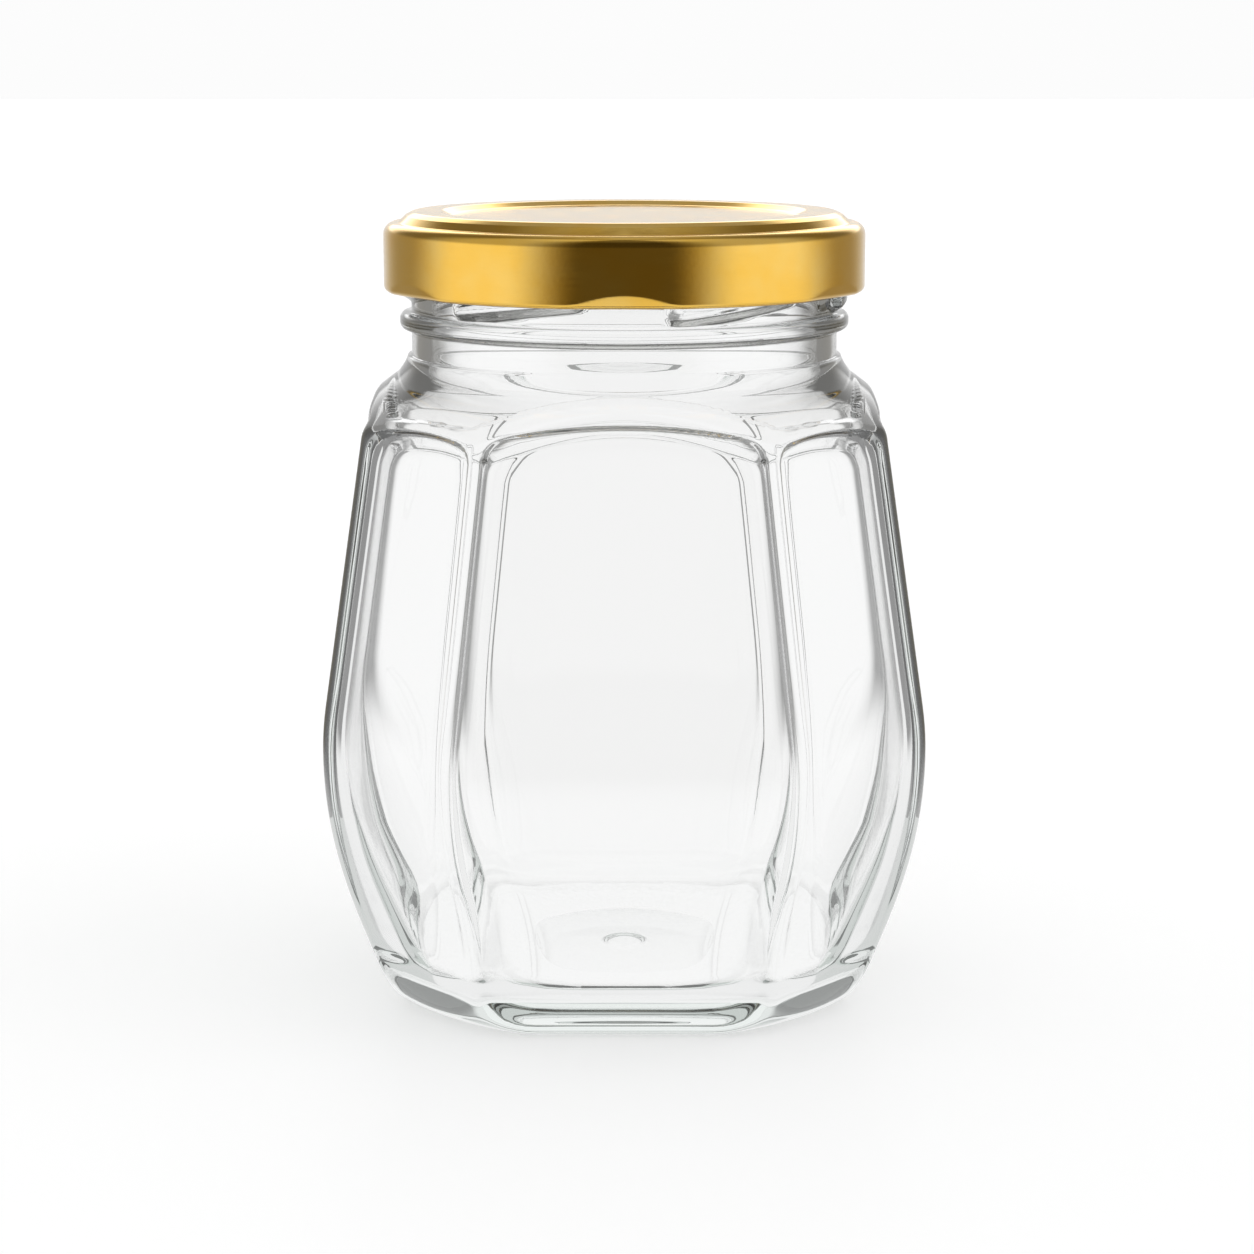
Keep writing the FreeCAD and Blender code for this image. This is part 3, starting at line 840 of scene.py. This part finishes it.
@dataclass
class TwistLid:
    """Pressed tinplate lid: sunk middle, raised crest, stepped shoulder, rolled edge and lugs."""

    finish: GoldLacquer
    low: float = field(default_factory=lambda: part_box("twist_lid")[0][2] / MM)
    high: float = field(default_factory=lambda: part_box("twist_lid")[1][2] / MM)
    radius: float = field(default_factory=lambda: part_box("twist_lid")[1][0] / MM)
    sheet: float = 0.28
    curl: float = 0.8
    skirt_round: float = 1.6
    step_radius: float = 31.2
    step_drop: float = 1.45
    riser_run: float = 1.0
    crest_outer: float = 29.2
    crest_inner: float = 25.4
    centre_run: float = 1.2
    centre_drop: float = 0.6
    dent_arc: float = 13.5
    dent_top: float = 1.9
    dent_lean: float = 20.0
    lug_arc: float = 20.0
    lug_radius: float = 30.4
    lug_thickness: float = 1.1
    lug_count: int = 6
    columns: int = 300

    def section(self) -> list[Span]:
        """Half section as (radius, height), from the middle of the top round to the inside."""
        top = self.high
        ledge = top - self.step_drop
        middle = top - self.centre_drop
        roll_height = self.low + self.curl
        roll_top = self.low + 2.0 * self.curl
        sheet = self.sheet
        outside = eased_path([
            (0.0, middle, 0.0),
            (self.crest_inner - self.centre_run, middle, 0.7),
            (self.crest_inner, top, 0.55),
            (self.crest_outer, top, 1.0),
            (self.step_radius - self.riser_run, top - 0.5, 0.5),
            (self.step_radius, ledge, 0.35),
            (self.radius, ledge - 0.05, self.skirt_round),
            (self.radius, roll_top + 1.6, 0.0),
        ], 6)
        outside += [(self.radius, roll_top + 1.6 - 0.2 * step) for step in range(1, 11)]
        roll = []
        for step in range(15):
            angle = math.radians(-215.0 * step / 14)
            across, up = self.curl * math.cos(angle), self.curl * math.sin(angle)
            roll.append((self.radius - self.curl + across, roll_height + up))
        inside = eased_path([
            (self.radius - self.curl * 1.3, roll_top - 0.1, 0.0),
            (self.radius - sheet, roll_top + 0.2, 0.15),
            (self.radius - sheet, ledge - 0.05 - sheet, self.skirt_round - sheet),
            (self.step_radius - sheet, ledge - sheet, 0.2),
            (self.step_radius - self.riser_run - sheet, top - 0.5 - sheet, 0.4),
            (self.crest_outer - sheet, top - sheet, 0.8),
            (self.crest_inner + sheet, top - sheet, 0.4),
            (self.crest_inner - self.centre_run + sheet, middle - sheet, 0.5),
            (0.0, middle - sheet, 0.0),
        ], 4)
        return outside + roll + inside

    def lathe_tree(self, points: int, sizes: dict[str, object]) -> bpy.types.NodeTree:
        """Geometry Nodes tree that turns a half section about the axis and adds the lugs.

        Args:
            points: how many points the half section has.
            sizes: what the tree will be given, by the names of its inputs.

        Returns:
            The tree.
        """
        tree = bpy.data.node_groups.new("lid_lathe", "GeometryNodeTree")
        kinds = {int: "Int", float: "Float", bpy.types.Material: "Material"}
        tree.interface.new_socket("Section", in_out="INPUT", socket_type="NodeSocketGeometry")
        for name, value in sizes.items():
            tree.interface.new_socket(
                name, in_out="INPUT", socket_type="NodeSocket" + kinds[type(value)])
        tree.interface.new_socket("Lid", in_out="OUTPUT", socket_type="NodeSocketGeometry")
        board = NodeBoard(tree)
        given = board.add("NodeGroupInput").outputs
        grid = board.add("GeometryNodeMeshGrid", {
            "Size X": 1.0, "Size Y": 1.0, "Vertices X": points, "Vertices Y": given["Columns"]})
        place = board.add("GeometryNodeInputPosition").outputs[0]
        spot = board.split(place)
        number = board.maths("ROUND", board.times(board.plus(spot[0], 0.5), points - 1.0))
        turn = board.times(board.plus(spot[1], 0.5), FULL_TURN)
        sample = board.add("GeometryNodeSampleIndex", {
            "Geometry": given["Section"], "Index": number}, data_type="FLOAT_VECTOR")
        values = [socket for socket in sample.inputs if socket.name == "Value" and socket.enabled]
        tree.links.new(place, values[0])
        drawn = board.split([socket for socket in sample.outputs if socket.enabled][0])
        pitch = board.over(FULL_TURN, given["Lug Count"])
        seat = board.over(board.plus(turn, FULL_TURN / 4.0), pitch)
        off = board.times(board.minus(seat, board.maths("ROUND", seat)), pitch)
        part = board.over(off, given["Dent Arc"])
        fall = board.times(given["Dent Height"], board.times(part, part))
        under = board.larger(board.minus(board.minus(given["Dent Top"], fall), drawn[2]), 0.0)
        dented = board.minus(drawn[0], board.times(under, given["Dent Lean"]))
        turned = board.add("ShaderNodeCombineXYZ", {
            0: board.times(dented, board.maths("COSINE", turn)),
            1: board.times(dented, board.maths("SINE", turn)),
            2: drawn[2],
        })
        shell = board.add("GeometryNodeSetPosition", {"Geometry": grid, "Position": turned})
        closed = board.add("GeometryNodeMergeByDistance", {"Geometry": shell, "Distance": SEAM})
        joined = board.add("GeometryNodeJoinGeometry")
        tree.links.new(self.lug_nodes(board, given), joined.inputs[0])
        tree.links.new(closed.outputs[0], joined.inputs[0])
        real = board.add("GeometryNodeRealizeInstances", {0: joined})
        dressed = board.add("GeometryNodeSetMaterial", {
            "Geometry": real, "Material": given["Finish"]})
        board.add("NodeGroupOutput", {0: dressed})
        return tree

    def lug_nodes(self, board: NodeBoard, given: Outputs) -> Socket:
        """Adds the nodes that bend one lug and repeat it round the rolled edge.

        Args:
            board: the board of the lid's tree.
            given: the tree's inputs.

        Returns:
            The socket that carries the lugs.
        """
        block = board.add("GeometryNodeMeshCube", {
            "Size": (1.0, 1.0, 1.0), "Vertices X": 15, "Vertices Y": 6, "Vertices Z": 4})
        spot = board.split(board.add("GeometryNodeInputPosition").outputs[0])
        along = board.maths("ABSOLUTE", board.times(spot[0], 2.0))
        end_fall = board.minus(1.0, board.maths("POWER", along, 4.0))
        end_ease = board.maths("SQRT", board.larger(0.02, end_fall))
        angle = board.times(spot[0], given["Lug Arc"])
        outer = given["Lug Outer Radius"]
        depth = board.times(board.minus(outer, given["Lug Inner Radius"]), end_ease)
        radius = board.minus(outer, board.times(depth, board.minus(0.5, spot[1])))
        bent = board.add("ShaderNodeCombineXYZ", {
            0: board.times(radius, board.maths("SINE", angle)),
            1: board.times(board.times(radius, board.maths("COSINE", angle)), -1.0),
            2: board.plus(given["Lug Height"], board.times(spot[2], given["Lug Thickness"])),
        })
        lug = board.add("GeometryNodeSetPosition", {"Geometry": block, "Position": bent})
        seats = board.add("GeometryNodePoints", {"Count": given["Lug Count"]})
        index = board.add("GeometryNodeInputIndex")
        step = board.over(FULL_TURN, given["Lug Count"])
        turn = board.add("ShaderNodeCombineXYZ", {2: board.times(index, step)})
        return board.add("GeometryNodeInstanceOnPoints", {
            "Points": seats, "Instance": lug, "Rotation": turn}).outputs[0]

    def build(self) -> bpy.types.Object:
        """Builds the lid with its Geometry Nodes tree, gives it to the frame, and returns it."""
        section = self.section()
        line = bpy.data.meshes.new("lid_section")
        line.from_pydata([(radius * MM, 0.0, height * MM) for radius, height in section],
                         [(number, number + 1) for number in range(len(section) - 1)], [])
        drawn = link("lid_section", line)
        sizes = {
            "Columns": self.columns + 1,
            "Lug Count": self.lug_count,
            "Lug Arc": math.radians(self.lug_arc),
            "Lug Inner Radius": self.lug_radius * MM,
            "Lug Outer Radius": (self.radius - self.curl) * MM,
            "Lug Height": (self.low + self.curl) * MM,
            "Lug Thickness": self.lug_thickness * MM,
            "Dent Arc": math.radians(self.dent_arc),
            "Dent Top": (self.low + self.dent_top) * MM,
            "Dent Height": self.dent_top * MM,
            "Dent Lean": math.tan(math.radians(self.dent_lean)),
            "Finish": self.finish.build(),
        }
        lathe = drawn.modifiers.new("lathe", "NODES")
        lathe.node_group = self.lathe_tree(len(section), sizes)
        for item in lathe.node_group.interface.items_tree:
            if item.in_out == "INPUT" and item.name in sizes:
                lathe[item.identifier] = sizes[item.name]
        shaped = drawn.evaluated_get(bpy.context.evaluated_depsgraph_get())
        mesh = bpy.data.meshes.new_from_object(shaped)
        drawn.modifiers.remove(lathe)
        bpy.data.objects.remove(drawn)
        finish_mesh(mesh)
        piece = link("lid_shell", mesh)
        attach(piece, BODY)
        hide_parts("twist_lid")
        LOG.info("lid_shell: %d faces", len(mesh.polygons))
        return piece


# ---- studio

@dataclass
class Studio:
    """Plain pale floor, soft light all round, and the camera.

    Gloss, glass and the open view each see their own brightness. Angles go round the jar from
    straight in front, in radians; the heights of directions go from 0, level, to 1, straight up.
    """

    camera_place: tuple[float, float, float] = (0.37, -420.0, 132.94)
    camera_pitch: float = 11.1045
    lens: float = 86.64
    floor_size: float = 12000.0
    floor_grey: float = 0.8
    floor_roughness: float = 0.5
    floor_gloss: float = 0.03
    floor_glow: float = 0.37
    near_light: float = 0.9
    near_span: Span = (120.0, 240.0)
    backdrop: float = 0.975
    soft_light: float = 0.7
    front_light: float = 0.1
    side_light: float = 1.1
    rear_light: float = 0.36
    far_light: float = 0.82
    side_span: Span = (0.36, 1.02)
    rear_span: Span = (1.45, 2.12)
    far_span: Span = (2.3, 3.0)
    warm: Colour = (1.0, 0.8, 0.35)
    warm_span: Span = (0.0, 0.75)
    fall_span: Span = (0.1, 0.35)
    fall: Span = (1.0, 0.5)
    back_light: float = 1.6
    back_span: Span = (2.45, 2.9)
    back_foot: Span = (0.12, 0.2)
    back_head: Span = (0.5, 0.68)
    overhead_light: float = 0.1
    overhead_span: Span = (0.8, 0.95)
    through_light: float = 0.97
    front_gap: float = 0.3
    front_gap_span: Span = (0.45, 0.9)
    rear_gap: float = 0.7
    rear_gap_start: Span = (1.75, 2.0)
    rear_gap_end: Span = (2.72, 2.9)
    bounced_light: float = 0.7
    full_bounces: float = 3.0
    sun_power: float = 0.5
    sun_spread: float = 50.0
    sun_turn: tuple[float, float, float] = (10.0, 48.0, 0.0)

    def camera(self) -> None:
        """Sets up the camera."""
        lens = bpy.data.cameras.new("camera")
        lens.lens = self.lens
        lens.sensor_width = 36.0
        lens.clip_start = 0.01
        camera = link("camera", lens)
        camera.location = [value * MM for value in self.camera_place]
        camera.rotation_euler = (math.radians(90.0 - self.camera_pitch), 0.0, 0.0)
        bpy.context.scene.camera = camera

    def floor(self) -> bpy.types.Object:
        """Makes the floor and returns it."""
        half = self.floor_size / 2.0 * MM
        corners = [(-half, -half, 0.0), (half, -half, 0.0), (half, half, 0.0), (-half, half, 0.0)]
        mesh = bpy.data.meshes.new("floor")
        mesh.from_pydata(corners, [], [(0, 1, 2, 3)])
        material = bpy.data.materials.new("floor")
        board = NodeBoard.fresh(material)
        path = board.path()
        place = board.split(board.place())
        lit = board.add("ShaderNodeBsdfPrincipled", {
            "Base Color": (*[self.floor_grey] * 3, 1.0),
            "Roughness": self.floor_roughness,
            "Specular IOR Level": self.floor_gloss,
        })
        glow = board.add("ShaderNodeEmission", {"Color": WHITE, "Strength": self.floor_glow})
        both = board.add("ShaderNodeAddShader", {0: lit, 1: glow})
        square = board.plus(board.times(place[0], place[0]), board.times(place[1], place[1]))
        near = tuple(value * MM for value in self.near_span)
        far = board.ramp(board.maths("SQRT", square), near, UP)
        # Painted light: rays from gloss and glass see the floor as a glow rather than lit: gloss
        # sees near_light near the jar and the light round further off, glass sees light_through.
        gloss = board.blend(far, (*[self.near_light] * 3, 1.0), self.light_round(board, place))
        through = self.light_through(board, path, place, far)
        seen = board.add("ShaderNodeEmission", {
            "Color": board.blend(self.from_glass(board, path), gloss, through), "Strength": 1.0})
        bounced = board.larger(path["Is Glossy Ray"], path["Is Transmission Ray"])
        shade = board.add("ShaderNodeMixShader", {0: bounced, 1: both, 2: seen})
        board.add("ShaderNodeOutputMaterial", {"Surface": shade})
        mesh.materials.append(material)
        floor = link("floor", mesh)
        return floor

    def world(self) -> None:
        """Sets up the surroundings: white behind, tall soft lights at the sides, dim in front."""
        world = bpy.data.worlds.new("studio")
        bpy.context.scene.world = world
        board = NodeBoard.fresh(world)
        part = board.split(board.add("ShaderNodeTexCoord").outputs["Generated"])
        path = board.path()
        up = part[2]
        band = board.times(
            board.ramp(up, self.back_foot, UP), board.ramp(up, self.back_head, DOWN))
        behind = board.ramp(self.side_angle(board, part), self.back_span, (0.0, self.back_light))
        overhead = board.ramp(up, self.overhead_span, (0.0, self.overhead_light))
        fall = board.ramp(up, self.fall_span, self.fall)
        around = board.scaled(self.light_round(board, part), fall)
        gloss = board.add("ShaderNodeVectorMath", {
            0: around, 1: board.plus(board.times(band, behind), overhead)}, operation="ADD")
        level = board.blend(path["Is Glossy Ray"], (*[self.soft_light] * 3, 1.0), gloss)
        through = self.light_through(board, path, part, 1.0)
        level = board.blend(self.from_glass(board, path), level, through)
        level = board.blend(path["Is Camera Ray"], level, (*[self.backdrop] * 3, 1.0))
        sky = board.add("ShaderNodeBackground", {"Color": level, "Strength": 1.0})
        board.add("ShaderNodeOutputWorld", {"Surface": sky})

    def from_glass(self, board: NodeBoard, path: Outputs) -> Socket:
        """1 for a ray that leaves glass, straight or after bouncing in it, and otherwise 0."""
        return board.larger(path["Is Transmission Ray"], board.caught(path))

    def side_angle(self, board: NodeBoard, part: Outputs) -> Socket:
        """Angle round the jar of a place or direction, 0 to pi on either side."""
        return board.maths("ABSOLUTE", board.maths("ARCTAN2", part[0], board.times(part[1], -1.0)))

    def light_round(self, board: NodeBoard, part: Outputs) -> Socket:
        """Colour that gloss mirrors level with the jar: dim and warm in front, soft at the sides.

        Args:
            board: the board of the floor or the world.
            part: x, y and z of what is mirrored.

        Returns:
            The colour socket.
        """
        side = self.side_angle(board, part)
        level = board.plus(
            board.ramp(side, self.side_span, (self.front_light, self.side_light)),
            board.ramp(side, self.rear_span, (0.0, self.rear_light - self.side_light)))
        level = board.plus(
            level, board.ramp(side, self.far_span, (0.0, self.far_light - self.rear_light)))
        shade = board.ramp(level, self.warm_span, UP)
        colour = board.blend(shade, (*self.warm, 1.0), WHITE)
        return board.scaled(colour, level)

    def light_through(self, board: NodeBoard, path: Outputs, part: Outputs, far: object) -> Socket:
        """Colour that shows through glass: white but for dim gaps in front and at the rear, with
        painted shade after bounces in the glass.

        Args:
            board: the board of the floor or the world.
            path: what kind of ray looks.
            part: x, y and z of what is seen.
            far: 0 close to the jar, where all is white, to 1 far off.

        Returns:
            The colour socket.
        """
        side = self.side_angle(board, part)
        rear = board.times(
            board.ramp(side, self.rear_gap_start, (0.0, self.rear_gap)),
            board.ramp(side, self.rear_gap_end, DOWN))
        dim = board.plus(board.ramp(side, self.front_gap_span, (self.front_gap, 0.0)), rear)
        level = board.minus(self.through_light, board.times(dim, far))
        # Painted shade: after bounces inside glass, what shows through is dimmed, down to
        # bounced_light at full_bounces and more.
        share = board.over(path["Glossy Depth"], self.full_bounces)
        lost = board.times(board.maths("MINIMUM", share, 1.0), 1.0 - self.bounced_light)
        return board.grey(board.times(level, board.minus(1.0, lost)))

    def lamp(self) -> None:
        """Hangs one very soft lamp high on the right, which lays the jar's shadow to the left."""
        light = bpy.data.lights.new("lamp", "SUN")
        light.energy = self.sun_power
        light.angle = math.radians(self.sun_spread)
        lamp = link("lamp", light)
        lamp.rotation_euler = [math.radians(turn) for turn in self.sun_turn]
        lamp.visible_glossy = lamp.visible_transmission = lamp.visible_camera = False

    def build(self) -> None:
        """Builds the whole studio."""
        self.camera()
        self.floor()
        self.world()
        self.lamp()
        bpy.context.scene.view_settings.view_transform = "Standard"
        LOG.info("studio ready")


# ---- all together

def main() -> None:
    logging.basicConfig(level=logging.INFO, format="%(name)s: %(message)s")
    Studio().build()
    GlassJar(ClearGlass()).build()
    TwistLid(GoldLacquer()).build()


if __name__ == "__main__":
    main()
